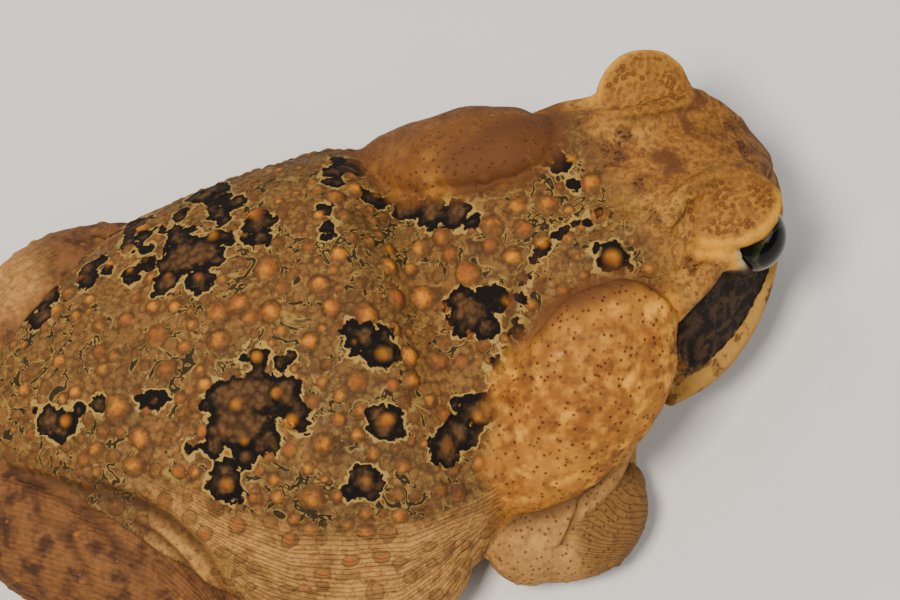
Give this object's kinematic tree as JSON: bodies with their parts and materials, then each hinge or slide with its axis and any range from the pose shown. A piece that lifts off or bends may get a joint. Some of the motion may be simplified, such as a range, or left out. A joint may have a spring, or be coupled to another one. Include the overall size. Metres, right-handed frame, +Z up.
{
  "type": "cane toad, still model",
  "caption": "Life-size still model of an adult cane toad resting flat on the floor, head turned slightly to its left, with large oval glands behind the eyes.",
  "frame": {"origin": "floor level, at the middle of the bounding box seen from above", "axes": "+X along the trunk towards the snout, +Y to the toad's left, +Z up"},
  "size_m": [0.1612, 0.1148, 0.0479],
  "materials": {
    "back_skin": "damp, warty, satin",
    "head_skin": "damp, smooth over bone",
    "gland_skin": "damp, finely pitted",
    "limb_skin": "damp, fine grained",
    "eardrum": "smooth",
    "eye": "wet gloss"
  },
  "bodies": {
    "root": {"head": "head_skin", "torso": "back_skin", "parotoid_left": "gland_skin", "eye_left": "eye", "eardrum_left": "eardrum", "upper_arm_left": "back_skin", "forearm_left": "limb_skin", "hand_left": "limb_skin", "thigh_left": "back_skin", "shank_left": "back_skin", "foot_left": "limb_skin", "parotoid_right": "gland_skin", "eye_right": "eye", "eardrum_right": "eardrum", "upper_arm_right": "back_skin", "forearm_right": "limb_skin", "hand_right": "limb_skin", "thigh_right": "back_skin", "shank_right": "back_skin", "foot_right": "limb_skin"}
  },
  "joints": []
}
